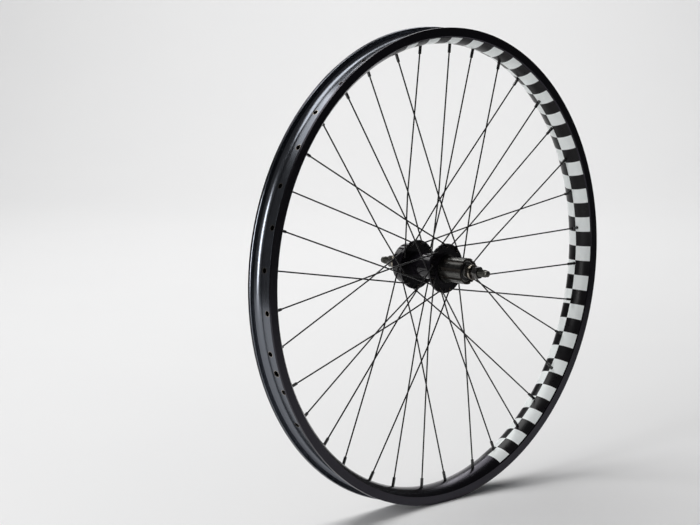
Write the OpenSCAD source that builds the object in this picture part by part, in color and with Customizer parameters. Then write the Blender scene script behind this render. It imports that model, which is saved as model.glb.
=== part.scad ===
// Rear bicycle wheel: a wide double-wall rim laced three-cross to a disc hub with a splined freehub.
// The axle lies along Y with the freehub on the -Y side. The wheel rolls forward towards +X.
// Angles are measured about the axle from +X towards +Z.

/* [Rim] */
// Diameter of the seat that the tyre bead rests on
bead_seat_d = 622; // [584:1:622]
// Outside width of the rim
rim_w = 41; // [38:0.5:44]
// Height of a rim flange above the bead seat
flange_h = 6; // [5:0.5:6.5]
// Depth of the rim from flange top to hub-facing apex
rim_depth = 21.4; // [20:0.2:23]
// Radius of the hub-facing arch of the rim section
arch_r = 26; // [25:0.5:30]
// Thickness of the arch that the nipples pull on
arch_wall = 2.2; // [1.8:0.1:2.6]
// Thickness of the rim flanges
rim_flange_w = 2.9; // [2.5:0.1:3.2]
// Diameter of the valve hole
valve_hole_d = 8.5; // [6.5:0.1:8.6]
// Diameter of the holes that let the nipples in through the tyre well
access_hole_d = 7; // [6.8:0.1:8]
// Sideways offset of the nipple holes from the centre plane
hole_stagger = 2.3; // [1:0.1:3]
// Angle of the first drive-side nipple hole
hole_phase = 85.1; // [80:0.1:90]

/* [Checker band] */
// Angle covered by one square of the band
square_angle = 4; // [4:1:8]
// Angle at which the band starts
band_from = -68; // [-68:4:-60]
// Number of squares along the band
band_squares = 44; // [20:1:60]
// Width of the band, measured across the rim
band_w = 38.4; // [30:0.2:38.6]
// Thickness of the band's vinyl
band_t = 0.2; // [0.1:0.05:0.3]

/* [Spokes] */
// Diameter of the spoke wire
spoke_d = 2; // [1.8:0.1:2]
// Radius of the elbow's centre line
elbow_r = 2.2; // [2:0.1:2.4]
// Diameter of the spoke head
head_d = 3.8; // [3.4:0.1:4]
// Length of a nipple's body
nipple_l = 14; // [12:1:16]
// Diameter of a nipple's body
nipple_d = 4; // [3.9:0.1:4.1]
// Distance across a nipple's flats
nipple_flats = 3.3; // [3.2:0.1:3.5]

/* [Hub shell] */
// Outside diameter of the spoke flanges
hub_flange_d = 66; // [64:0.5:68]
// Diameter of the circle of spoke holes
spoke_circle_d = 58; // [57:0.5:59]
// Thickness of the spoke flanges
hub_flange_t = 3.4; // [3.2:0.1:3.6]
// Diameter of the spoke holes
spoke_hole_d = 2.5; // [2.4:0.1:2.6]
// Position of the drive-side flange's middle
drive_flange_y = -20; // [-21:0.5:-19.5]
// Position of the left flange's middle
left_flange_y = 32.5; // [31:0.5:33]
// Diameter of the barrel between the flanges
barrel_d = 34; // [32:0.5:36]
// Diameter of the brake disc seat
disc_seat_d = 53.2; // [52:0.2:54]
// Position of the brake disc seat
disc_seat_y = 52.2; // [52:0.1:52.4]
// Diameter of the spigot that centres the brake disc
disc_spigot_d = 34.9; // [34.8:0.05:35]
// Diameter of the circle of disc bolts
disc_bolt_circle_d = 44; // [44:1:44]
// Drilled diameter of the disc bolt threads
disc_bolt_hole_d = 4.2; // [4:0.1:4.4]

/* [Freehub] */
// Diameter over the splines
spline_d = 34.6; // [34.2:0.1:34.8]
// Depth of the spline grooves
groove_depth = 1.8; // [1.4:0.1:2]
// Width of a spline groove
groove_w = 4; // [3:0.1:4.5]
// Number of spline grooves
groove_n = 9; // [9:1:9]
// Angle of the first spline groove
groove_phase = 172.4; // [160:0.1:200]
// Bore diameter of the lockring thread
lockring_bore_d = 29.5; // [29:0.1:29.8]
// Number of ratchet teeth
tooth_n = 24; // [24:1:24]

/* [Axle] */
// Diameter of the axle's thread
axle_d = 10; // [9.5:0.1:10]
// Length of the axle from tip to tip
axle_l = 191; // [186:1:196]
// Distance between the outer faces of the locknuts
locknut_span = 135; // [135:1:135]
// Distance across the flats of the locknuts
locknut_flats = 17; // [17:1:17]
// Distance across the flats of the axle nuts
axle_nut_flats = 15; // [14:1:15]
// Thickness of an axle nut
axle_nut_t = 10.2; // [8:0.1:10.2]
// Thickness of a toothed axle washer
axle_washer_t = 2.8; // [2:0.1:2.8]

/* [Hidden] */
$fn = 96;
hole_n = 36;
fit_gap = 0.02;
rim_r = bead_seat_d / 2 + flange_h;
seat_r = bead_seat_d / 2;
apex_r = rim_r - rim_depth;
arch_centre_r = apex_r + arch_r;
rim_half = rim_w / 2;
shelf_half = rim_half - rim_flange_w;
shelf_w = 1.7;
well_depth = 4;
well_r = seat_r - well_depth;
well_half = 8;
well_side = shelf_half - shelf_w - well_half;
well_curve_r = (well_side * well_side + well_depth * well_depth) / (2 * well_depth);
well_wall = 1.6;
side_wall = 2.2;
cavity_half = rim_half - side_wall;
hook_w = 0.7;
hook_chamfer = 0.4;
hook_h = 1.6;
hook_end = 2.4;
nipple_room = 0.4;
valve_angle = hole_phase + 115;

// Lacing
cross_sweep = 60;
last_cross_sweep = 50;
circle_r = spoke_circle_d / 2;
spoke_run = sqrt(circle_r * circle_r + apex_r * apex_r - 2 * circle_r * apex_r * cos(cross_sweep));
hub_corner = acos((circle_r * circle_r + spoke_run * spoke_run - apex_r * apex_r) / (2 * circle_r * spoke_run));
cross_run = circle_r * sin(last_cross_sweep) / sin(180 - last_cross_sweep - hub_corner);
cross_gap = 0.08;
cross_offset = (spoke_d + cross_gap) / 2;
cross_bend_r = 60;
wire_d = spoke_d - 0.02;
joint_lap = 0.05;
half_t = hub_flange_t / 2;
head_t = 0.9;
head_gap = 0.05;
spoke_in_nipple = 2;
nipple_seat = 2.2;
nipple_head_d = 6.2;
nipple_cone_l = 0.9;
nipple_head_l = 1.5;

// Hub shell
barrel_r = barrel_d / 2;
shell_bore_r = 12.5;
bolt_bore_r = 9.6;
bolt_wall_y = -10;
core_socket_y = -16;
shoulder_h = 0.8;
shoulder_w = 1.2;
ring_in_r = 19.6;
ring_out_r = 21.2;
ring_h = 2.3;
neck_r = 24;
neck_y = 41;
disc_cone_y = 43;
disc_hole_depth = 10;
spigot_end_y = 57.5;
edge = 0.5;

// Hub bearings
ball_d = 6.35;
ball_circle_r = 9.6;
race_r = ball_d / 2 + 0.06;
left_ball_y = 50.5;
right_ball_y = -53.5;
cup_r = 14;
cup_in_y = 46;
cup_out_y = 54;
cup_lip = 2.2;
cone_r = 9;
cone_foot_r = 6.3;
cone_foot_l = 3;
cone_wide_gap = 0.6;
cone_hex_y = 57.5;
cone_hex_end_y = 61.5;
right_cone_end_y = -59;
left_spacer_r = 8.2;
right_spacer_r = 8.4;
cap_gap = 0.5;
left_cap_y = [54.1, 55.3];
right_cap_y = [-57.6, -56.6];
right_cap_r = 12.6;
axle_bore_r = axle_d / 2 + fit_gap;
axle_tip_l = 4.6;
axle_tip_r = axle_d / 2 - 0.8;
axle_chamfer = 0.8;
thread_fade = 0.6;
locknut_y = locknut_span / 2;
locknut_t = 5;
nut_chamfer = 0.9;
nut_face_gap = 0.3;
washer_r = 10.1;
washer_tooth_n = 12;
washer_groove_r = 7.2;
washer_groove_l = 4;
washer_groove_depth = 0.5;
washer_groove_w = 1;

// Freehub
core_r = 11.9;
driver_bore_r = 13.2;
small_ball_d = 3;
small_ball_r = 12.55;
small_ball_n = 25;
small_race_r = small_ball_d / 2 + 0.05;
inner_race_y = -29.5;
outer_race_y = -46.5;
core_face_y = -22.6;
driver_in_y = -23.6;
driver_out_y = -60.5;
driver_flange_y = -26.5;
groove_end_gap = 0.4;
groove_end_y = driver_flange_y - groove_end_gap;
driver_flange_r = 18.6;
driver_step_y = -48.5;
seal_r = 15.5;
seal_in_r = 12.4;
seal_y = [-25.5, -23.9];
core_cup_y = [-57.8, -49];
core_tube_y = -50;
core_stub_r = 9.5;
core_stub_y = -16.1;
core_bore_r = 8.4;
core_counterbore_y = -44;
bolt_gap = 0.1;
bolt_r = 7;
bolt_hole_r = 5.8;
bolt_head_r = 8.2;
bolt_head_y = [-47.4, -44.05];
bolt_end_y = -10.5;
bolt_key = 12;
bolt_key_y = -45;
pawl_y = -38;
pawl_w = 7;
pawl_pivot_r = 10;
pawl_pin_r = 1.5;
pin_gap = 0.05;
pawl_side_gap = 0.3;
pawl_root_half = 1.3;
pawl_root_z = 0.3;
pawl_tip_x = 11.69;
pawl_tip_z = 6.7;
pawl_tip_w = 1.59;
pocket_outline = [[8.5, 0.2], [14, -0.6], [16, 9], [8.6, 7.3], [7.9, 6.9]];
spring_ring_r = 11.5;
spring_wire_r = 0.3;
spring_from = 50;
spring_sweep = 350;
spring_slot_r = 11.1;
spring_slot_half = 0.5;
pawl_slot_half = 0.6;
tooth_root_r = 13.9;
tooth_tip_r = 12.7;
tooth_zone = 9.5;
tooth_phase = 30.6;
tooth_fill = 0.999;

// How far a cutting shape runs past the face that it cuts
past = 1;

SPOKES = [for (i = [1:hole_n]) str("spoke_", i < 10 ? "0" : "", i)];
FIXED_PARTS = ["axle", "left_cone", "right_cone", "cone_spacers", "locknuts", "axle_washers", "axle_nuts"];
WHEEL_PARTS = ["rim", "checker_band", "spoke_nipples", "hub_shell", "left_bearing_cup", "left_dust_cap",
    "right_dust_cap", "left_bearing_balls", "right_bearing_balls", "freehub_core", "freehub_bolt",
    "freehub_balls", "pawl_spring"];
MOVING_PARTS = ["pawl_upper", "pawl_lower", "freehub_driver", "freehub_seal"];

// Turns a section drawn as (radius, position along the axle) about the axle.
module turn() {
    rotate([-90, 0, 0]) rotate_extrude() children();
}

// A rectangle in such a section, from radius r1 to r2 and from y1 to y2.
module band(r1, r2, y1, y2) {
    translate([r1, y1]) square([r2 - r1, y2 - y1]);
}

// Places children, drawn around the +X direction, at an angle about the axle.
module at_angle(a) {
    rotate([0, -a, 0]) children();
}

// A rod along the axle, from y1 to y2.
module rod_y(r, y1, y2) {
    translate([0, y1, 0]) rotate([-90, 0, 0]) cylinder(r = r, h = y2 - y1);
}

// A hexagonal nut blank on the axle, from y1 to y2, with its corners turned by an angle.
module hex_y(flats, y1, y2, corner) {
    translate([0, y1, 0]) rotate([-90, corner, 0]) cylinder(d = flats / cos(30), h = y2 - y1, $fn = 6);
}

// Lacing of the hole number i: even numbers are on the drive side, odd ones on the left side.
function on_drive(i) = i % 2 == 0;
function side(i) = on_drive(i) ? -1 : 1;
function rim_angle(i) = hole_phase + 360 / hole_n * i;
function pair_number(i) = on_drive(i) ? i / 2 : (i + 1) / 2;
function leads(i) = (pair_number(i) % 2 == 0) == on_drive(i);
function hub_angle(i) = rim_angle(i) + (leads(i) ? cross_sweep : -cross_sweep);
function flange_y(i) = on_drive(i) ? drive_flange_y : left_flange_y;
function elbow_side(i) = leads(i) ? -side(i) : side(i);
function nipple_y(i) = side(i) * hole_stagger;
function run_angle(i) = let (h = hub_angle(i), r = rim_angle(i))
    atan2(apex_r * sin(r) - circle_r * sin(h), apex_r * cos(r) - circle_r * cos(h));
// Height above the flange's middle, on the elbow's side, of the last crossing and of the nipple seat
function rim_height(i) = elbow_side(i) * (nipple_y(i) - flange_y(i));
function cross_height(i) = rim_height(i) * cross_run / spoke_run - cross_offset;
function cross_tilt(i) = atan2(rim_height(i) - cross_height(i), spoke_run - cross_run);
function elbow_tilt(i) = let (a = cross_run - elbow_r, b = cross_height(i) - half_t)
    asin(elbow_r / sqrt(a * a + b * b)) - atan2(b, a);

// Spoke frame of hole i: X runs from the hub hole towards the rim, Y leaves the flange on the elbow's side.
module spoke_frame(i) {
    translate([circle_r * cos(hub_angle(i)), flange_y(i), circle_r * sin(hub_angle(i))])
        rotate([0, -run_angle(i), 0])
            mirror([0, elbow_side(i) < 0 ? 1 : 0, 0]) children();
}

// Frame of a nipple: its +X runs along the spoke's outer stretch from the arch's surface.
module nipple_frame(i) {
    spoke_frame(i) translate([spoke_run, rim_height(i), 0]) rotate([0, 0, cross_tilt(i)]) children();
}

// A straight stretch of spoke, whose ends sink a little into the bends that it joins.
module wire(x, y, angle, length) {
    translate([x, y, 0]) rotate([0, 90, angle]) translate([0, 0, -joint_lap])
        cylinder(d = wire_d, h = length + 2 * joint_lap, $fn = 24);
}

module spoke(i) {
    tilt = elbow_tilt(i);
    bend = cross_tilt(i) + tilt;
    bend_run = cross_bend_r * tan(bend / 2);
    elbow_x = elbow_r * (1 + sin(tilt));
    elbow_y = half_t + elbow_r * cos(tilt);
    inner_run = (cross_run - elbow_x) / cos(tilt) - bend_run;
    outer_run = (spoke_run - cross_run) / cos(cross_tilt(i)) + spoke_in_nipple - bend_run;
    head_y = half_t + head_gap;
    bend_x = cross_run - bend_run * cos(tilt);
    bend_y = cross_height(i) + bend_run * sin(tilt);
    out_x = cross_run + bend_run * cos(cross_tilt(i));
    out_y = cross_height(i) + bend_run * sin(cross_tilt(i));
    color("#17171a") spoke_frame(i) {
        // head and the stretch inside the hub flange
        rotate([-90, 0, 0]) rotate_extrude($fn = 24)
            polygon([[0, -head_y - head_t], [head_d / 2, -head_y - head_t], [head_d / 2, -head_y],
                [wire_d / 2, -head_y], [wire_d / 2, half_t + joint_lap], [0, half_t + joint_lap]]);
        // elbow
        translate([elbow_r, half_t, 0]) rotate([0, 0, 90 - tilt]) rotate_extrude(angle = 90 + tilt)
            translate([elbow_r, 0]) circle(d = spoke_d, $fn = 24);
        wire(elbow_x, elbow_y, -tilt, inner_run);
        // slight bend where the spoke passes under or over its last neighbour
        translate([bend_x + cross_bend_r * sin(tilt), bend_y + cross_bend_r * cos(tilt), 0])
            rotate([0, 0, -tilt - 90]) rotate_extrude(angle = bend) translate([cross_bend_r, 0])
                circle(d = spoke_d, $fn = 24);
        wire(out_x, out_y, cross_tilt(i), outer_run);
    }
}

module nipple() {
    body_from = nipple_seat - nipple_l;
    bore_l = nipple_l + nipple_cone_l + nipple_head_l + 2 * past;
    difference() {
        union() {
            intersection() {
                translate([body_from, 0, 0]) rotate([0, 90, 0]) cylinder(d = nipple_d, h = nipple_l, $fn = 32);
                translate([body_from, -nipple_flats / 2, -nipple_flats / 2])
                    cube([nipple_l, nipple_flats, nipple_flats]);
            }
            translate([nipple_seat, 0, 0]) rotate([0, 90, 0])
                cylinder(d1 = nipple_d, d2 = nipple_head_d, h = nipple_cone_l, $fn = 32);
            translate([nipple_seat + nipple_cone_l, 0, 0]) rotate([0, 90, 0])
                cylinder(d = nipple_head_d, h = nipple_head_l, $fn = 32);
        }
        translate([body_from - past, 0, 0]) rotate([0, 90, 0])
            cylinder(d = spoke_d + 2 * fit_gap, h = bore_l, $fn = 24);
    }
}

module spoke_nipples() {
    color("#131315") for (i = [0:hole_n - 1]) nipple_frame(i) nipple();
}

// Hole through the arch along the spoke, for one nipple.
module nipple_hole(i, d) {
    nipple_frame(i) translate([-2 * arch_wall, 0, 0]) rotate([0, 90, 0])
        cylinder(d = d, h = 4 * arch_wall, $fn = 32);
}

// One side of the tyre channel's outline, from the mouth to the well for s = -1 and back out for s = 1.
function channel_side(s) = let (points = [[rim_r + past, shelf_half], [rim_r, shelf_half],
    [rim_r - hook_chamfer, shelf_half - hook_w], [rim_r - hook_h, shelf_half - hook_w],
    [rim_r - hook_end, shelf_half], [seat_r, shelf_half], [seat_r, well_half], [well_r, well_half]])
    [for (k = [0:7]) let (p = points[s < 0 ? k : 7 - k]) [p[0], s * p[1]]];

module rim_section() {
    difference() {
        intersection() {
            translate([arch_centre_r, 0]) circle(r = arch_r, $fn = 180);
            band(apex_r - past, rim_r, -rim_half, rim_half);
        }
        // tyre channel: hooked flanges and bead shelves, then a well with curved sides between them
        polygon(concat(channel_side(-1), channel_side(1)));
        for (s = [-1, 1]) intersection() {
            translate([well_r + well_curve_r, s * well_half]) circle(r = well_curve_r, $fn = 180);
            band(well_r - past, seat_r, -shelf_half, shelf_half);
        }
        // hollow box between the well and the arch
        intersection() {
            translate([arch_centre_r, 0]) circle(r = arch_r - arch_wall, $fn = 180);
            polygon([[apex_r, -cavity_half], [apex_r, cavity_half], [seat_r - well_wall, cavity_half],
                [seat_r - well_wall, shelf_half], [well_r - well_wall, well_half + side_wall],
                [well_r - well_wall, -well_half - side_wall], [seat_r - well_wall, -shelf_half],
                [seat_r - well_wall, -cavity_half]]);
        }
    }
}

module rim() {
    color("#1f1e22") difference() {
        turn() rim_section();
        for (i = [0:hole_n - 1]) {
            nipple_hole(i, nipple_d + nipple_room);
            at_angle(rim_angle(i)) translate([well_r - 2 * well_wall, nipple_y(i), 0]) rotate([0, 90, 0])
                cylinder(d = access_hole_d, h = 4 * well_wall, $fn = 32);
        }
        at_angle(valve_angle) translate([apex_r - past, 0, 0]) rotate([0, 90, 0])
            cylinder(d = valve_hole_d, h = rim_depth + 2 * past);
    }
}

module checker_band() {
    color("#e8ecec") difference() {
        rotate([-90, 0, 0]) rotate([0, 0, -band_from - square_angle * band_squares])
            rotate_extrude(angle = square_angle * band_squares) intersection() {
                translate([arch_centre_r, 0]) difference() {
                    circle(r = arch_r + fit_gap + band_t, $fn = 180);
                    circle(r = arch_r + fit_gap, $fn = 180);
                }
                band(apex_r - past, rim_r, -band_w / 2, band_w / 2);
            }
        for (i = [0:hole_n - 1]) nipple_hole(i, nipple_d + 2 * nipple_room);
    }
}

module flange_section(y) {
    r = hub_flange_d / 2;
    translate([0, y]) polygon([[shell_bore_r, -half_t], [r - edge, -half_t], [r, -half_t + edge],
        [r, half_t - edge], [r - edge, half_t], [shell_bore_r, half_t]]);
}

module hub_section() {
    drive_face = drive_flange_y - half_t;
    seat_edge_r = disc_seat_d / 2;
    flange_section(drive_flange_y);
    flange_section(left_flange_y);
    band(shell_bore_r, barrel_r, drive_flange_y, left_flange_y);
    // shoulders where the barrel meets the flanges
    band(shell_bore_r, barrel_r + shoulder_h, drive_flange_y, drive_flange_y + half_t + shoulder_w);
    band(shell_bore_r, barrel_r + shoulder_h, left_flange_y - half_t - shoulder_w, left_flange_y);
    // raised ring on the drive flange and the wall that holds the freehub bolt
    band(ring_in_r, ring_out_r, drive_face - ring_h, drive_face);
    band(bolt_r + fit_gap, barrel_r, core_face_y, bolt_wall_y);
    // neck, disc seat and spigot
    band(shell_bore_r, neck_r, left_flange_y, neck_y);
    polygon([[shell_bore_r, neck_y - past], [neck_r, neck_y - past], [seat_edge_r, disc_cone_y],
        [seat_edge_r, disc_seat_y - edge], [seat_edge_r - edge, disc_seat_y], [shell_bore_r, disc_seat_y]]);
    band(shell_bore_r, disc_spigot_d / 2, disc_seat_y, spigot_end_y);
}

module hub_shell() {
    color("#1b1a20") difference() {
        turn() difference() {
            hub_section();
            band(0, bolt_bore_r, core_face_y - past, core_socket_y);
            band(0, cup_r, cup_in_y, spigot_end_y + past);
        }
        for (i = [0:hole_n - 1])
            translate([circle_r * cos(hub_angle(i)), flange_y(i), circle_r * sin(hub_angle(i))])
                rod_y(spoke_hole_d / 2, -hub_flange_t, hub_flange_t);
        for (k = [0:5]) at_angle(60 * k + 30) translate([disc_bolt_circle_d / 2, 0, 0])
            rod_y(disc_bolt_hole_d / 2, disc_seat_y - disc_hole_depth, disc_seat_y + past);
    }
}

// Section of a cone for balls at y, with its wide end on the side given by s and ending at y_end.
module cone_section(y, s, y_end) {
    wide_y = y + s * cone_wide_gap;
    foot_y = y - s * cone_foot_l;
    difference() {
        union() {
            band(axle_bore_r, cone_r, min(wide_y, y_end), max(wide_y, y_end));
            band(axle_bore_r, cone_foot_r, min(foot_y, y + s), max(foot_y, y + s));
        }
        translate([ball_circle_r, y]) circle(r = race_r);
    }
}

module left_cone() {
    color("#8d8b86") {
        turn() cone_section(left_ball_y, 1, cone_hex_y);
        difference() {
            hex_y(locknut_flats, cone_hex_y, cone_hex_end_y, 30);
            rod_y(axle_bore_r, cone_hex_y - past, cone_hex_end_y + past);
        }
    }
}

module right_cone() {
    color("#8d8b86") turn() cone_section(right_ball_y, -1, right_cone_end_y);
}

module cone_spacers() {
    color("#77756f") {
        turn() band(axle_bore_r, left_spacer_r, cone_hex_end_y, locknut_y - locknut_t);
        turn() band(axle_bore_r, right_spacer_r, locknut_t - locknut_y, right_cone_end_y);
    }
}

// Hexagonal nut with a chamfered outer face; s is the side of the wheel that it is on.
module chamfered_nut(flats, thickness, inner_y, s, corner) {
    outer_r = flats / cos(30) / 2;
    face_r = flats / 2 - nut_face_gap;
    mirror([0, s < 0 ? 1 : 0, 0]) difference() {
        intersection() {
            hex_y(flats, inner_y, inner_y + thickness, corner);
            turn() polygon([[0, inner_y], [outer_r, inner_y], [outer_r, inner_y + thickness - nut_chamfer],
                [face_r, inner_y + thickness], [0, inner_y + thickness]]);
        }
        rod_y(axle_bore_r, inner_y - past, inner_y + thickness + past);
    }
}

module locknuts() {
    color("#a39f97") for (s = [-1, 1]) chamfered_nut(locknut_flats, locknut_t, locknut_y - locknut_t, s, 30);
}

// Washer with radial teeth cut into its outer face, which bite the frame.
module toothed_washer() {
    outer_y = locknut_y + axle_washer_t;
    difference() {
        turn() band(axle_bore_r, washer_r, locknut_y, outer_y);
        for (k = [0:washer_tooth_n - 1]) at_angle(360 / washer_tooth_n * k)
            translate([washer_groove_r, outer_y - washer_groove_depth, -washer_groove_w / 2])
                cube([washer_groove_l, washer_groove_depth + past, washer_groove_w]);
    }
}

module axle_washers() {
    color("#a8a49b") for (s = [-1, 1]) mirror([0, s < 0 ? 1 : 0, 0]) toothed_washer();
}

module axle_nuts() {
    color("#2b2a29") for (s = [-1, 1])
        chamfered_nut(axle_nut_flats, axle_nut_t, locknut_y + axle_washer_t, s, 0);
}

module axle() {
    end_y = axle_l / 2;
    thread_y = end_y - axle_tip_l;
    axle_r = axle_d / 2;
    color("#55544f") turn() polygon([[0, -end_y], [axle_tip_r - axle_chamfer, -end_y],
        [axle_tip_r, axle_chamfer - end_y], [axle_tip_r, -thread_y], [axle_r, thread_fade - thread_y],
        [axle_r, thread_y - thread_fade], [axle_tip_r, thread_y], [axle_tip_r, end_y - axle_chamfer],
        [axle_tip_r - axle_chamfer, end_y], [0, end_y]]);
}

module left_bearing_cup() {
    color("#9a9894") turn() difference() {
        band(ball_circle_r, cup_r - fit_gap, cup_in_y + fit_gap, cup_out_y);
        translate([ball_circle_r, left_ball_y]) circle(r = race_r);
        band(0, ball_circle_r + cup_lip, left_ball_y, cup_out_y + past);
    }
}

module left_dust_cap() {
    color("#222222") turn() band(cone_r + cap_gap, cup_r - fit_gap, left_cap_y[0], left_cap_y[1]);
}

module right_dust_cap() {
    color("#141414") turn()
        band(cone_r + cap_gap, right_cap_r - fit_gap, right_cap_y[0], right_cap_y[1]);
}

module ball_ring(n, d, ring_r, y) {
    for (k = [0:n - 1]) at_angle(360 / n * k) translate([ring_r, y, 0]) sphere(d = d, $fn = 32);
}

module left_bearing_balls() {
    color("silver") ball_ring(9, ball_d, ball_circle_r, left_ball_y);
}

module right_bearing_balls() {
    color("silver") ball_ring(9, ball_d, ball_circle_r, right_ball_y);
}

module freehub_balls() {
    color("silver") {
        ball_ring(small_ball_n, small_ball_d, small_ball_r, inner_race_y);
        ball_ring(small_ball_n, small_ball_d, small_ball_r, outer_race_y);
    }
}

// Extrudes an outline drawn as (X, Z) along the axle, over the width w around y.
module across(y, w) {
    translate([0, y + w / 2, 0]) rotate([90, 0, 0]) linear_extrude(height = w) children();
}

// Outline of one pawl with its pin around +X; its tip stands against a ratchet tooth.
module pawl_outline() {
    translate([pawl_pivot_r, 0]) circle(r = pawl_pin_r, $fn = 32);
    polygon([[pawl_pivot_r - pawl_root_half, pawl_root_z], [pawl_pivot_r + pawl_root_half, pawl_root_z],
        [pawl_tip_x, pawl_tip_z], [pawl_tip_x - pawl_tip_w, pawl_tip_z]]);
}

module pawl(angle) {
    at_angle(angle) difference() {
        across(pawl_y, pawl_w) pawl_outline();
        // slot over the ring spring
        rotate([-90, 0, 0]) translate([0, 0, pawl_y - pawl_slot_half]) difference() {
            cylinder(r = spline_d / 2, h = 2 * pawl_slot_half);
            translate([0, 0, -past]) cylinder(r = spring_slot_r, h = 2 * (pawl_slot_half + past));
        }
    }
}

module pawl_upper() {
    color("#6f6d69") pawl(0);
}

module pawl_lower() {
    color("#6f6d69") pawl(180);
}

// Pocket in the core for one pawl, with room for it to fold in.
module pawl_pocket(angle) {
    at_angle(angle) across(pawl_y, pawl_w + 2 * pawl_side_gap) {
        translate([pawl_pivot_r, 0]) circle(r = pawl_pin_r + pin_gap, $fn = 32);
        polygon(pocket_outline);
    }
}

module pawl_spring() {
    color("silver") rotate([-90, 0, 0]) rotate([0, 0, spring_from]) rotate_extrude(angle = spring_sweep)
        translate([spring_ring_r, pawl_y]) circle(r = spring_wire_r, $fn = 16);
}

module freehub_core() {
    color("#6d6c6a") difference() {
        turn() difference() {
            union() {
                band(bolt_r + bolt_gap, core_r, core_tube_y, core_face_y);
                band(bolt_r + bolt_gap, core_stub_r, core_face_y, core_stub_y);
                band(core_bore_r, cup_r, core_cup_y[0], core_cup_y[1]);
            }
            translate([ball_circle_r, right_ball_y]) circle(r = race_r);
            band(0, ball_circle_r + cup_lip, core_cup_y[0] - past, right_ball_y);
            band(0, right_cap_r, core_cup_y[0] - past, right_cap_y[1] + bolt_gap);
            band(0, core_bore_r, core_cup_y[0] - past, core_counterbore_y);
            for (y = [inner_race_y, outer_race_y]) translate([small_ball_r, y]) circle(r = small_race_r);
            band(spring_slot_r, core_r + past, pawl_y - spring_slot_half, pawl_y + spring_slot_half);
        }
        pawl_pocket(0);
        pawl_pocket(180);
    }
}

// Hollow bolt that holds the core on the hub shell; its head takes a hexagon key.
module freehub_bolt() {
    color("#4b4a49") difference() {
        turn() {
            band(bolt_hole_r, bolt_head_r, bolt_head_y[0], bolt_head_y[1]);
            band(bolt_hole_r, bolt_r, bolt_head_y[1] - joint_lap, bolt_end_y);
        }
        hex_y(bolt_key, bolt_head_y[0] - past, bolt_key_y, 30);
    }
}

function tooth_points() = [for (k = [0:tooth_n - 1]) for (j = [0:3])
    let (a = tooth_phase + 360 / tooth_n * k, f = j / 3 * 360 / tooth_n * tooth_fill,
        r = tooth_tip_r + (tooth_root_r - tooth_tip_r) * j / 3) [r * cos(a + f), r * sin(a + f)]];

module freehub_driver() {
    spline_r = spline_d / 2;
    color("#83827f") difference() {
        turn() difference() {
            polygon([[driver_bore_r, driver_in_y], [driver_flange_r, driver_in_y],
                [driver_flange_r, driver_flange_y], [spline_r, driver_flange_y],
                [spline_r, driver_out_y + edge], [spline_r - edge, driver_out_y],
                [driver_bore_r, driver_out_y]]);
            band(0, lockring_bore_d / 2, driver_out_y - past, driver_step_y);
            band(0, seal_r, seal_y[0] - bolt_gap, driver_in_y + past);
            for (y = [inner_race_y, outer_race_y]) translate([small_ball_r, y]) circle(r = small_race_r);
        }
        across(pawl_y, tooth_zone) polygon(tooth_points());
        for (k = [0:groove_n - 1]) at_angle(groove_phase + 360 / groove_n * k)
            translate([spline_r - groove_depth, driver_out_y - past, -groove_w / 2])
                cube([groove_depth + past, groove_end_y - driver_out_y + past, groove_w]);
    }
}

module freehub_seal() {
    color("#111111") turn() band(seal_in_r, seal_r - fit_gap, seal_y[0], seal_y[1]);
}

axle();
left_cone();
right_cone();
cone_spacers();
locknuts();
axle_washers();
axle_nuts();
rim();
checker_band();
spoke_nipples();
hub_shell();
left_bearing_cup();
left_dust_cap();
right_dust_cap();
left_bearing_balls();
right_bearing_balls();
freehub_core();
freehub_bolt();
freehub_balls();
pawl_spring();
pawl_upper();
pawl_lower();
freehub_driver();
freehub_seal();
for (i = [0:hole_n - 1])
    spoke(i);
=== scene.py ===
"""Looks of a rear bicycle wheel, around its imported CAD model. Lengths are in metres, angles in degrees."""

import math

import bmesh
import bpy
from mathutils import Matrix, Vector


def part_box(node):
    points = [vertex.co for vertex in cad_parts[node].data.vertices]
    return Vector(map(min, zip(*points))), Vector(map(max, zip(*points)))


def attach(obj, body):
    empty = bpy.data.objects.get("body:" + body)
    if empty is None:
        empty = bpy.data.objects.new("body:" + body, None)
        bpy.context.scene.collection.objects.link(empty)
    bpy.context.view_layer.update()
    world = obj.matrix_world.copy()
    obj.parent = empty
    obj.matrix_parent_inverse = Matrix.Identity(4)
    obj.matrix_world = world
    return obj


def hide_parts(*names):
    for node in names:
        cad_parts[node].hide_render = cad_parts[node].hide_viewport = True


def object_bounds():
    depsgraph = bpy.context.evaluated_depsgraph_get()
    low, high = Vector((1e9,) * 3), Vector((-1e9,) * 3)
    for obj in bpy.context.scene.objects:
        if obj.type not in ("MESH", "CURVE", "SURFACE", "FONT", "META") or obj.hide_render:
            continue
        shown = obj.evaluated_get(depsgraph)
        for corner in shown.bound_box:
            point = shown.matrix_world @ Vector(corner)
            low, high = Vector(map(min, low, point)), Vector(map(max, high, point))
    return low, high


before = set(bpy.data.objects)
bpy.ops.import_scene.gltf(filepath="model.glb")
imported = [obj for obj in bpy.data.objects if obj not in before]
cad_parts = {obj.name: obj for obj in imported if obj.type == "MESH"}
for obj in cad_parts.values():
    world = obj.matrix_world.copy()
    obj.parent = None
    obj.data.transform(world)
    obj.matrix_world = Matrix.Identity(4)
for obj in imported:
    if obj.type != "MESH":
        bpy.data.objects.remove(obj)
cad_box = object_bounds()
MM = 0.001

# Places that the CAD model fixes, as angles from +X towards +Z
drive_row_phase = 5.1
left_row_phase = 15.1
holes_apart = 20.0
valve_angle = 200.1

# Camera, as seen in the photograph
camera_azimuth = -45.08
camera_height = 8.12
camera_distance = 3.03
aim_right = -0.112
aim_up = 0.0057
lens = 117.3


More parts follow.
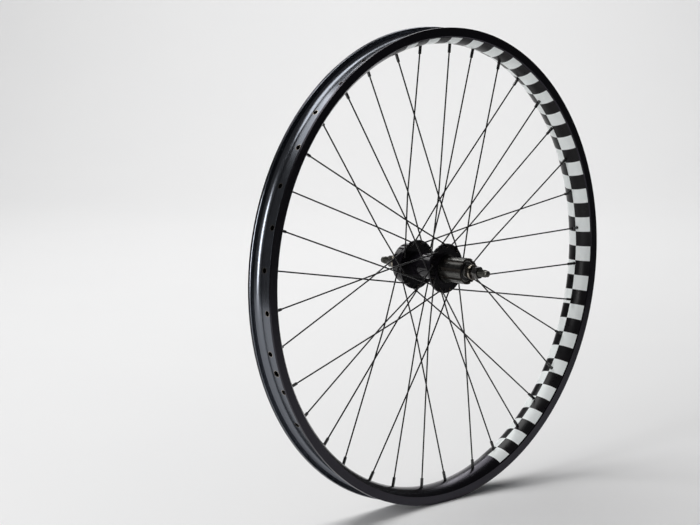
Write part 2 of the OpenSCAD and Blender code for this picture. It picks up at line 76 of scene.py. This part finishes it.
def camera_axes():
    """The camera's backward, right and up directions."""
    azimuth, height = math.radians(camera_azimuth), math.radians(camera_height)
    back = Vector((
        math.sin(azimuth) * math.cos(height),
        -math.cos(azimuth) * math.cos(height),
        math.sin(height),
    ))
    right = Vector((math.cos(azimuth), math.sin(azimuth), 0.0))
    return back, right, back.cross(right)


def make_camera():
    back, right, up = camera_axes()
    data = bpy.data.cameras.new("camera")
    data.sensor_width = 36.0
    data.lens = lens
    data.clip_end = 50.0
    camera = bpy.data.objects.new("camera", data)
    bpy.context.scene.collection.objects.link(camera)
    turn = Matrix((right, up, back)).transposed().to_4x4()
    place = back * camera_distance + right * aim_right + up * aim_up
    camera.matrix_world = Matrix.Translation(place) @ turn
    bpy.context.scene.camera = camera


# Materials ------------------------------------------------------------------------------------


class Look:
    """One procedural material. Its methods add nodes, and a value may be a number or a socket."""

    def __init__(self, name, colour, roughness, metallic=0.0, **settings):
        self.material = bpy.data.materials.new(name)
        self.material.use_nodes = True
        self.tree = self.material.node_tree
        self.shader = self.tree.nodes["Principled BSDF"]
        self.feed(self.shader.inputs["Base Color"], colour)
        self.feed(self.shader.inputs["Roughness"], roughness)
        self.feed(self.shader.inputs["Metallic"], metallic)
        for socket, value in settings.items():
            self.feed(self.shader.inputs[socket.replace("_", " ")], value)

    def feed(self, socket, value):
        if isinstance(value, bpy.types.NodeSocket):
            self.tree.links.new(value, socket)
        elif isinstance(value, tuple) and len(value) == 3 and socket.type == "RGBA":
            socket.default_value = (*value, 1.0)
        else:
            socket.default_value = value

    def node(self, kind, inputs=(), **fields):
        made = self.tree.nodes.new(kind)
        for field, value in fields.items():
            setattr(made, field, value)
        for socket, value in dict(inputs).items():
            self.feed(made.inputs[socket], value)
        return made

    def math(self, operation, *values):
        made = self.node("ShaderNodeMath", operation=operation)
        for socket, value in zip(made.inputs, values):
            self.feed(socket, value)
        return made.outputs[0]

    def place(self):
        """X, Y and Z in the wheel's own frame."""
        return self.node("ShaderNodeTexCoord").outputs["Object"]

    def split(self, vector):
        return self.node("ShaderNodeSeparateXYZ", {"Vector": vector}).outputs

    def join(self, x, y, z):
        return self.node("ShaderNodeCombineXYZ", {"X": x, "Y": y, "Z": z}).outputs[0]

    def polar(self):
        """Distance from the axle's line, angle from +X towards +Z, and place along the axle."""
        x, y, z = self.split(self.place())
        squares = self.math("ADD", self.math("MULTIPLY", x, x), self.math("MULTIPLY", z, z))
        angle = self.math("DEGREES", self.math("ARCTAN2", z, x))
        return self.math("SQRT", squares), angle, y

    def noise(self, vector, scale, detail=3.0, roughness=0.55):
        return self.node(
            "ShaderNodeTexNoise",
            {"Vector": vector, "Scale": scale, "Detail": detail, "Roughness": roughness},
        ).outputs["Fac"]

    def ramp(self, value, low, high, out_low=0.0, out_high=1.0):
        """Value from low to high, turned into out_low to out_high and held there outside."""
        return self.node(
            "ShaderNodeMapRange",
            {"Value": value, "From Min": low, "From Max": high, "To Min": out_low, "To Max": out_high},
        ).outputs[0]

    def mix(self, share, first, second):
        """Colour first where share is 0, second where it is 1."""
        made = self.node("ShaderNodeMix", data_type="RGBA")
        self.feed(made.inputs[0], share)
        self.feed(made.inputs[6], first)
        self.feed(made.inputs[7], second)
        return made.outputs[2]

    def blend(self, share, first, second):
        """Number first where share is 0, second where it is 1."""
        made = self.node("ShaderNodeMix", data_type="FLOAT")
        for index, value in enumerate((share, first, second)):
            self.feed(made.inputs[index if index == 0 else index + 1], value)
        return made.outputs[0]

    def colour(self, value):
        self.feed(self.shader.inputs["Base Color"], value)

    def roughness(self, value):
        self.feed(self.shader.inputs["Roughness"], value)

    def metallic(self, value):
        self.feed(self.shader.inputs["Metallic"], value)

    def bump(self, height, distance, strength=1.0):
        made = self.node("ShaderNodeBump", {"Height": height, "Distance": distance, "Strength": strength})
        self.feed(self.shader.inputs["Normal"], made.outputs[0])


def row_of_holes(look, angle, phase):
    """Angle from the nearest hole's middle, of a row of holes that starts at phase."""
    return look.math("WRAP", look.math("SUBTRACT", angle, phase), holes_apart / 2, -holes_apart / 2)


def off_hole(look, along, across):
    """Distance from a hole's middle, from the distances along and across the row."""
    squares = look.math("ADD", look.math("MULTIPLY", along, along), look.math("MULTIPLY", across, across))
    return look.math("SQRT", squares)


def arc_length(look, angle, radius):
    """Length of the arc that spans the angle at the radius."""
    return look.math("MULTIPLY", look.math("RADIANS", angle), radius)


bare_aluminium = (0.62, 0.55, 0.47)


def rim_look():
    """Black anodised aluminium, bare where the holes were drilled after anodising, and painted lighter in
    the tyre channel as a painted reflection.
    """
    look = Look("rim_black", (0.085, 0.087, 0.1), 0.26, 1.0)
    radius, angle, y = look.polar()
    nipple_y = 2.3 * MM
    drill_radius = 3.5 * MM
    valve_radius = 4.25 * MM
    chamfer = 0.28 * MM
    well_from = 300 * MM
    channel_from = 306 * MM
    channel_half = 17.7 * MM
    distances = []
    for phase, row_y in ((drive_row_phase, -nipple_y), (left_row_phase, nipple_y)):
        along = arc_length(look, row_of_holes(look, angle, phase), radius)
        from_hole = off_hole(look, along, look.math("SUBTRACT", y, row_y))
        distances.append(look.math("SUBTRACT", from_hole, drill_radius))
    from_valve = look.math("WRAP", look.math("SUBTRACT", angle, valve_angle), 180.0, -180.0)
    from_hole = off_hole(look, arc_length(look, from_valve, radius), y)
    distances.append(look.math("SUBTRACT", from_hole, valve_radius))
    nearest = look.math("MINIMUM", look.math("MINIMUM", distances[0], distances[1]), distances[2])
    drilled = look.math("LESS_THAN", nearest, chamfer)
    in_well = look.math("GREATER_THAN", radius, well_from)
    bare = look.math("MULTIPLY", drilled, in_well)
    stretched = look.join(
        look.math("MULTIPLY", radius, 150.0),
        look.math("MULTIPLY", y, 2200.0),
        look.math("MULTIPLY", angle, 0.1),
    )
    drawn = look.noise(stretched, 1.0, 2.0)
    cloud = look.noise(look.place(), 28.0, 4.0)
    dust = look.ramp(look.noise(look.place(), 900.0, 2.0), 0.70, 0.78)
    # Painted reflection: inside the tyre channel the same black anodised finish is painted far lighter than
    # on the outer walls, standing in for the light it reflects.
    channel_sheen_mask = look.math("LESS_THAN", look.math("ABSOLUTE", y), channel_half)
    channel_sheen_mask = look.math("MULTIPLY", channel_sheen_mask, look.math("GREATER_THAN", radius, channel_from))
    outside = look.mix(cloud, (0.034, 0.032, 0.039), (0.042, 0.040, 0.048))
    channel = look.mix(cloud, (0.150, 0.160, 0.182), (0.165, 0.176, 0.198))
    black = look.mix(channel_sheen_mask, outside, channel)
    black = look.mix(look.math("MULTIPLY", dust, 0.25), black, (0.24, 0.23, 0.22))
    look.colour(look.mix(bare, black, bare_aluminium))
    uneven = look.ramp(cloud, 0.3, 0.7, -0.03, 0.03)
    look.roughness(look.math("ADD", look.ramp(drawn, 0.3, 0.7, 0.21, 0.25), uneven))
    look.bump(drawn, 0.001 * MM, 0.15)
    return look


def checker_look():
    """Two rows of squares on one strip of gloss film, each row starting where the other's gap is."""
    square = 4.0
    edge_share = 0.02
    look = Look("checker_vinyl", (0.8, 0.8, 0.8), 0.25, Specular_IOR_Level=0.25)
    radius, angle, y = look.polar()
    steps = look.math("DIVIDE", angle, square)
    left = look.math("GREATER_THAN", y, 0.0)
    cell = look.math("ADD", look.math("FLOOR", steps), left)
    white = look.math("FLOORED_MODULO", cell, 2.0)
    to_edge = look.math("PINGPONG", steps, 0.5)
    printed = look.math("LESS_THAN", to_edge, edge_share)
    mottle = look.noise(look.place(), 120.0, 4.0)
    ink = look.mix(mottle, (0.004, 0.0036, 0.0044), (0.0065, 0.006, 0.007))
    paper = look.mix(mottle, (0.88, 0.925, 0.92), (0.93, 0.96, 0.95))
    paper = look.mix(look.math("MULTIPLY", printed, 0.25), paper, (0.45, 0.46, 0.48))
    look.colour(look.mix(white, ink, paper))
    ink_gloss = look.ramp(mottle, 0.3, 0.7, 0.26, 0.36)
    paper_gloss = look.ramp(mottle, 0.3, 0.7, 0.18, 0.3)
    look.roughness(look.blend(white, ink_gloss, paper_gloss))
    stretched = look.join(look.math("MULTIPLY", angle, 0.35), look.math("MULTIPLY", y, 60.0), radius)
    ripple = look.noise(stretched, 1.0, 2.0)
    look.bump(ripple, 0.35 * MM, 0.6)
    return look


def turned_lines(look, radius, y, scale):
    """Noise that is even around the axle, like the marks of a lathe tool."""
    section = look.join(look.math("MULTIPLY", radius, scale), look.math("MULTIPLY", y, scale), 0.0)
    return look.noise(section, 1.0, 2.0)


def hub_look():
    """Gloss black anodised aluminium, worn bare at the edges of the spoke holes."""
    look = Look("hub_black", (0.006, 0.005, 0.007), 0.14, Specular_IOR_Level=0.45)
    radius, angle, y = look.polar()
    circle = 29 * MM
    hole_radius = 1.25 * MM
    worn = 0.22 * MM
    between_flanges = 10 * MM
    left = look.math("GREATER_THAN", y, between_flanges)
    phase = look.blend(left, drive_row_phase, left_row_phase)
    along = arc_length(look, row_of_holes(look, angle, phase), circle)
    from_hole = off_hole(look, along, look.math("SUBTRACT", radius, circle))
    grain = look.noise(look.place(), 700.0, 3.0)
    edge = look.math("ADD", hole_radius, look.math("MULTIPLY", grain, worn * 2))
    bare = look.math("LESS_THAN", from_hole, edge)
    turned = turned_lines(look, radius, y, 3000.0)
    cloud = look.noise(look.place(), 90.0, 3.0)
    black = look.mix(cloud, (0.004, 0.0033, 0.005), (0.007, 0.0058, 0.008))
    look.colour(look.mix(bare, black, (0.52, 0.43, 0.30)))
    look.metallic(bare)
    worn_rougher = look.math("MULTIPLY", bare, 0.15)
    look.roughness(look.math("ADD", look.ramp(turned, 0.3, 0.7, 0.09, 0.14), worn_rougher))
    look.bump(turned, 0.001 * MM, 0.3)
    return look


def spoke_look():
    """Gloss black coated steel wire, a little rubbed."""
    look = Look("spoke_black", (0.005, 0.005, 0.005), 0.25, Specular_IOR_Level=0.3)
    cloud = look.noise(look.place(), 160.0, 3.0)
    rub = look.ramp(look.noise(look.place(), 420.0, 3.0), 0.66, 0.76)
    black = look.mix(cloud, (0.004, 0.0036, 0.004), (0.007, 0.0062, 0.0066))
    look.colour(look.mix(look.math("MULTIPLY", rub, 0.08), black, (0.16, 0.15, 0.14)))
    look.roughness(look.ramp(cloud, 0.3, 0.7, 0.2, 0.3))
    look.bump(cloud, 0.003 * MM, 0.3)
    return look


def nipple_look():
    """Black plated brass nipples, rubbed where the spoke key grips them."""
    look = Look("nipple_black", (0.012, 0.0115, 0.0125), 0.3, IOR=1.6)
    rub = look.ramp(look.noise(look.place(), 500.0, 3.0), 0.62, 0.74)
    look.colour(look.mix(look.math("MULTIPLY", rub, 0.4), (0.012, 0.0115, 0.0125), (0.20, 0.16, 0.10)))
    look.roughness(look.ramp(rub, 0.0, 1.0, 0.24, 0.4))
    look.bump(rub, 0.02 * MM, 0.3)
    return look


def steel_look(name, dark, light, smooth, rough, scale, lines=0.0, stain=None):
    """Bare or plated steel: two tones, uneven gloss, fine turned lines, and stained patches."""
    look = Look(name, light, rough, 1.0)
    radius, _, y = look.polar()
    tone = look.noise(look.place(), scale, 2.5)
    metal = look.mix(look.ramp(tone, 0.35, 0.65), dark, light)
    if stain:
        patch = look.ramp(look.noise(look.place(), scale * 0.6, 3.0, 0.6), 0.50, 0.64)
        metal = look.mix(look.math("MULTIPLY", patch, 0.75), metal, stain)
    look.colour(metal)
    turned = turned_lines(look, radius, y, 4000.0)
    height = look.blend(lines, tone, turned)
    look.roughness(look.ramp(height, 0.3, 0.7, smooth, rough))
    look.bump(height, 0.003 * MM, 0.3)
    return look


def driver_look():
    """Dark steel splines, darker at the bottom of the grooves, with painted shade in the mouth."""
    look = Look("driver_steel", (0.3, 0.3, 0.31), 0.25, 1.0)
    radius, _, y = look.polar()
    land = 17.3 * MM
    groove = 15.5 * MM
    splines_from = -26.6 * MM
    mouth_radius = 15.2 * MM
    high = look.ramp(radius, groove + 0.3 * MM, land - 0.5 * MM)
    on_splines = look.math("LESS_THAN", y, splines_from)
    cloud = look.noise(look.place(), 130.0, 3.0)
    # The bottoms of the grooves are painted darker and browner, less metallic and rougher.
    groove_dark_and_mouth_shade = look.math("MULTIPLY", look.math("SUBTRACT", 1.0, high), on_splines)
    groove_dark_and_mouth_shade = look.math("MULTIPLY", groove_dark_and_mouth_shade, look.ramp(cloud, 0.25, 0.6, 0.55, 1.0))
    # Painted shade: the inside of the mouth is painted near-black.
    mouth = look.math("LESS_THAN", radius, mouth_radius)
    groove_dark_and_mouth_shade = look.math("MAXIMUM", groove_dark_and_mouth_shade, look.math("MULTIPLY", mouth, 0.85))
    steel = look.mix(look.ramp(cloud, 0.3, 0.7), (0.078, 0.077, 0.072), (0.125, 0.125, 0.118))
    look.colour(look.mix(groove_dark_and_mouth_shade, steel, (0.016, 0.011, 0.007)))
    look.metallic(look.ramp(groove_dark_and_mouth_shade, 0.0, 1.0, 1.0, 0.35))
    look.roughness(look.blend(groove_dark_and_mouth_shade, look.ramp(cloud, 0.3, 0.7, 0.2, 0.28), 0.4))
    look.bump(cloud, 0.004 * MM, 0.3)
    return look


def plain_dark_look(name, colour, roughness, scale):
    """Matt black rubber or moulded plastic with a fine grain."""
    look = Look(name, colour, roughness)
    grain = look.noise(look.place(), scale, 4.0)
    look.colour(look.mix(grain, colour, tuple(channel * 1.9 for channel in colour)))
    look.roughness(look.ramp(grain, 0.3, 0.7, roughness - 0.08, roughness + 0.08))
    look.bump(grain, 0.05 * MM, 0.4)
    return look


def paint_nodes():
    """Gives every CAD node the procedural material of its slot."""
    looks = {
        "rim_black": rim_look(),
        "checker_vinyl": checker_look(),
        "hub_black": hub_look(),
        "spoke_black": spoke_look(),
        "nipple_black": nipple_look(),
        "driver_steel": driver_look(),
        "axle_steel": steel_look(
            "axle_steel", (0.055, 0.055, 0.048), (0.13, 0.128, 0.113), 0.28, 0.4, 220.0, 0.2
        ),
        "nickel": steel_look(
            "nickel", (0.17, 0.15, 0.12), (0.42, 0.385, 0.33), 0.16, 0.26, 150.0, 0.2, (0.07, 0.058, 0.047)
        ),
        "dark_nut": steel_look(
            "dark_nut", (0.075, 0.072, 0.068), (0.15, 0.145, 0.138), 0.18, 0.3, 160.0, 0.2,
            (0.045, 0.042, 0.04)
        ),
        "dull_steel": steel_look(
            "dull_steel", (0.24, 0.23, 0.22), (0.40, 0.39, 0.37), 0.3, 0.45, 240.0, 0.6
        ),
        "bearing_steel": steel_look(
            "bearing_steel", (0.42, 0.41, 0.39), (0.58, 0.57, 0.55), 0.14, 0.24, 240.0, 0.8
        ),
        "ball_steel": steel_look("ball_steel", (0.62, 0.62, 0.62), (0.74, 0.74, 0.74), 0.05, 0.12, 300.0),
        "dust_cap": plain_dark_look("dust_cap", (0.012, 0.012, 0.012), 0.5, 900.0),
        "seal_rubber": plain_dark_look("seal_rubber", (0.010, 0.010, 0.010), 0.65, 1400.0),
    }
    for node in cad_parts.values():
        for slot in node.material_slots:
            slot.material = looks[slot.material.name.split(".")[0]].material
    return looks


# Added pieces ---------------------------------------------------------------------------------


def mesh_piece(name, body, look, points, faces, smooth_angle):
    """A new piece of the object: its mesh, its finish and the body it rides on."""
    mesh = bpy.data.meshes.new(name)
    mesh.from_pydata(points, [], faces)
    mesh.validate()
    shape = bmesh.new()
    shape.from_mesh(mesh)
    bmesh.ops.recalc_face_normals(shape, faces=shape.faces)
    shape.to_mesh(mesh)
    shape.free()
    mesh.shade_smooth()
    mesh.set_sharp_from_angle(angle=math.radians(smooth_angle))
    piece = bpy.data.objects.new(name, mesh)
    bpy.context.scene.collection.objects.link(piece)
    piece.data.materials.append(look.material)
    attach(piece, body)
    return piece


def threaded_axle(looks):
    """The axle with its rolled threads, which run in from the plain tips past the locknuts."""
    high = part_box("axle")[1]
    crest = high.x
    depth = 0.55 * MM
    middle = crest - 0.35 * MM
    tip = crest - 0.8 * MM
    tip_length = 4.6 * MM
    tip_step = 0.3 * MM
    chamfer = 0.6 * MM
    pitch = 1.0 * MM
    run_out = 0.8 * MM
    seen_from = 59.0 * MM
    around = 40
    rings_per_pitch = 8
    end = high.y
    thread_end = end - tip_length

    def thread_radius(y, turn):
        """Crest and root follow a helix, and fade out at both ends of the thread."""
        phase = (y / pitch - turn) % 1.0
        valley = abs(2.0 * phase - 1.0)
        fade = min(1.0, (thread_end - y) / run_out, max(0.0, (y - seen_from) / run_out))
        return crest - depth * valley * max(0.0, fade)

    step = pitch / rings_per_pitch
    count = round((thread_end - seen_from) / step)
    heights = [seen_from + step * index for index in range(count + 1)]
    points, rings = [], []

    def add_ring(y, radius_at):
        ring = []
        for index in range(around):
            turn = index / around
            radius = radius_at(turn)
            ring.append(len(points))
            points.append((radius * math.cos(math.tau * turn), y, radius * math.sin(math.tau * turn)))
        rings.append(ring)

    half = []
    for y in heights:
        half.append((y, (lambda turn, y=y: thread_radius(y, turn) if y > seen_from else middle)))
    half.append((thread_end + tip_step, lambda turn: tip))
    half.append((end - chamfer, lambda turn: tip))
    half.append((end, lambda turn: tip - chamfer))
    for y, radius_at in reversed(half):
        add_ring(-y, (lambda turn, radius_at=radius_at: radius_at(-turn)))
    for y, radius_at in half:
        add_ring(y, radius_at)
    faces = []
    for first, second in zip(rings, rings[1:]):
        for index in range(around):
            after = (index + 1) % around
            faces.append((first[index], first[after], second[after], second[index]))
    faces.append(tuple(rings[0]))
    faces.append(tuple(reversed(rings[-1])))
    axle = mesh_piece("threaded_axle", "fixed_axle", looks["axle_steel"], points, faces, 50.0)
    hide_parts("axle")


def lockring_thread(looks):
    """The fine helical thread inside the driver's mouth, which holds a cassette's lockring."""
    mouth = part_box("freehub_driver")[0].y
    outer = 14.74 * MM
    root = 14.72 * MM
    crest = 14.3 * MM
    pitch = 1.058 * MM
    start = mouth + 0.7 * MM
    length = 8.5 * MM
    around = 72
    rings_per_pitch = 6
    count = round(length / pitch * rings_per_pitch)
    points, faces = [], []

    def add_ring(along, radius_at):
        for index in range(around):
            turn = index / around
            radius, angle = radius_at(turn), math.tau * turn
            points.append((radius * math.cos(angle), start + along * pitch, radius * math.sin(angle)))

    def thread_radius(along, turn):
        tooth = 1.0 - abs(2.0 * ((along - turn) % 1.0) - 1.0)
        return root - (root - crest) * tooth * min(1.0, along, count / rings_per_pitch - along)

    for ring in range(count + 1):
        along = ring / rings_per_pitch
        add_ring(along, lambda turn, along=along: thread_radius(along, turn))
    for along in (count / rings_per_pitch, 0.0):
        add_ring(along, lambda turn: outer)
    rings = count + 3
    for ring in range(rings):
        first, second = ring * around, (ring + 1) % rings * around
        for index in range(around):
            after = (index + 1) % around
            faces.append((first + index, second + index, second + after, first + after))
    mesh_piece("lockring_thread", "driver", looks["driver_steel"], points, faces, 60.0)


# Studio ---------------------------------------------------------------------------------------


def stage_look():
    """Matt white paper with faint broad shades."""
    look = Look("pale_paper", (0.80, 0.80, 0.80), 0.9, Specular_IOR_Level=0.1)
    paper = look.noise(look.place(), 3.0, 2.0)
    look.colour(look.mix(paper, (0.800, 0.800, 0.802), (0.815, 0.814, 0.812)))
    return look


def ground_axes():
    """Level directions to the camera's right and away from it."""
    back, right, _ = camera_axes()
    return right, Vector((-back.x, -back.y, 0.0)).normalized()


def make_stage():
    """A pale paper sweep that the wheel stands on, rising behind it."""
    right, away = ground_axes()
    ground = cad_box[0].z
    near, bend_start, bend_radius, top = -2.2, 3.4, 2.0, 3.4
    half_width = 1.45
    profile = [(near, 0.0), (bend_start, 0.0)]
    bend_steps = 16
    for index in range(1, bend_steps + 1):
        turn = math.pi / 2 * index / bend_steps
        profile.append((bend_start + bend_radius * math.sin(turn), bend_radius * (1 - math.cos(turn))))
    profile.append((bend_start + bend_radius, top))
    points, faces = [], []
    for distance, height in profile:
        for side in (-half_width, half_width):
            points.append(right * side + away * distance + Vector((0, 0, ground + height)))
    for index in range(len(profile) - 1):
        first = 2 * index
        faces.append((first, first + 1, first + 3, first + 2))
    mesh = bpy.data.meshes.new("paper_sweep")
    mesh.from_pydata(points, [], faces)
    mesh.shade_smooth()
    sweep = bpy.data.objects.new("paper_sweep", mesh)
    bpy.context.scene.collection.objects.link(sweep)
    sweep.data.materials.append(stage_look().material)


def soft_light(name, side, distance, height, width, depth, power, aim):
    """An area light placed to the camera's right (side), away from it (distance) and above the ground."""
    right, away = ground_axes()
    ground = Vector((0, 0, cad_box[0].z))
    place = ground + right * side + away * distance + Vector((0, 0, height))
    target = ground + right * aim[0] + away * aim[1] + Vector((0, 0, aim[2]))
    data = bpy.data.lights.new(name, "AREA")
    data.shape = "RECTANGLE"
    data.size = width
    data.size_y = depth
    data.energy = power
    light = bpy.data.objects.new(name, data)
    bpy.context.scene.collection.objects.link(light)
    turn = (place - target).to_track_quat("Z", "Y").to_matrix().to_4x4()
    light.matrix_world = Matrix.Translation(place) @ turn
    light.visible_camera = False


def make_light():
    """Large softboxes overhead and to the left, and faint light from all around."""
    soft_light("key_softbox", -0.9, 0.35, 2.8, 1.8, 1.8, 40.0, (-0.1, 0.1, 0.3))
    soft_light("overhead", 0.2, 2.6, 3.2, 2.8, 2.6, 62.0, (0.0, 3.0, 0.0))
    soft_light("backdrop_light", -0.2, 3.2, 3.3, 2.8, 0.8, 40.0, (-0.5, 5.0, 0.5))
    soft_light("left_overhead", -2.15, 1.25, 2.8, 1.4, 1.5, 12.0, (-0.2, 0.0, 0.5))
    soft_light("left_strip", -1.6, -1.8, 0.8, 0.7, 1.5, 34.0, (0.0, 0.0, 0.35))
    world = bpy.data.worlds.new("studio")
    world.use_nodes = True
    surroundings = world.node_tree.nodes["Background"]
    surroundings.inputs["Color"].default_value = (0.64, 0.64, 0.66, 1.0)
    surroundings.inputs["Strength"].default_value = 0.12
    bpy.context.scene.world = world
    bpy.context.scene.view_settings.view_transform = "Standard"


make_camera()
looks = paint_nodes()
threaded_axle(looks)
lockring_thread(looks)
make_stage()
make_light()
